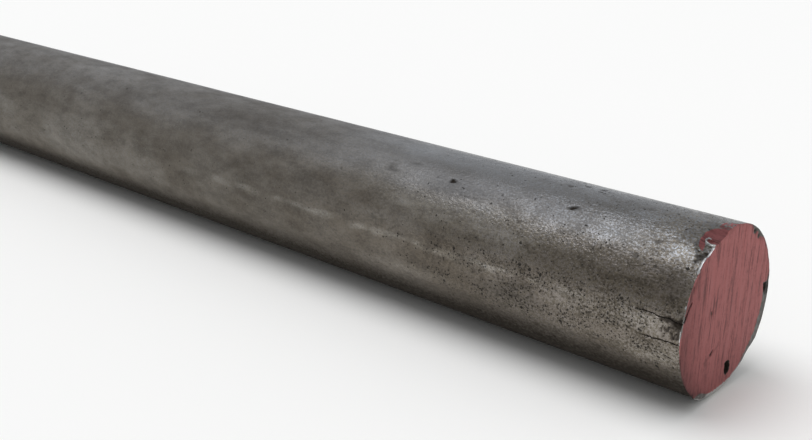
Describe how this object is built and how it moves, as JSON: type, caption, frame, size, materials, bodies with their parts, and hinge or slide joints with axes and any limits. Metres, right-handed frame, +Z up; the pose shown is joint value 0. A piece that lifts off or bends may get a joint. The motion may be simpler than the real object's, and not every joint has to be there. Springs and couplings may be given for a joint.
{
  "type": "round steel bar",
  "caption": "Straight solid round steel bar with a dull hot-rolled skin, one sawn end painted red and one sawn end left bare.",
  "frame": {"origin": "middle of the bar's length, on the level floor that it lies on, straight under the bar's axis", "axes": "+X along the bar towards its painted end, +Z up, so the bar's axis lies one radius above the origin"},
  "size_m": [0.3048, 0.0318, 0.0317],
  "materials": {
    "hot_rolled_steel": "dull grey-brown pitted mill skin, with one sawn end painted brick red"
  },
  "bodies": {
    "root": {"round_bar": "hot_rolled_steel"}
  },
  "joints": []
}
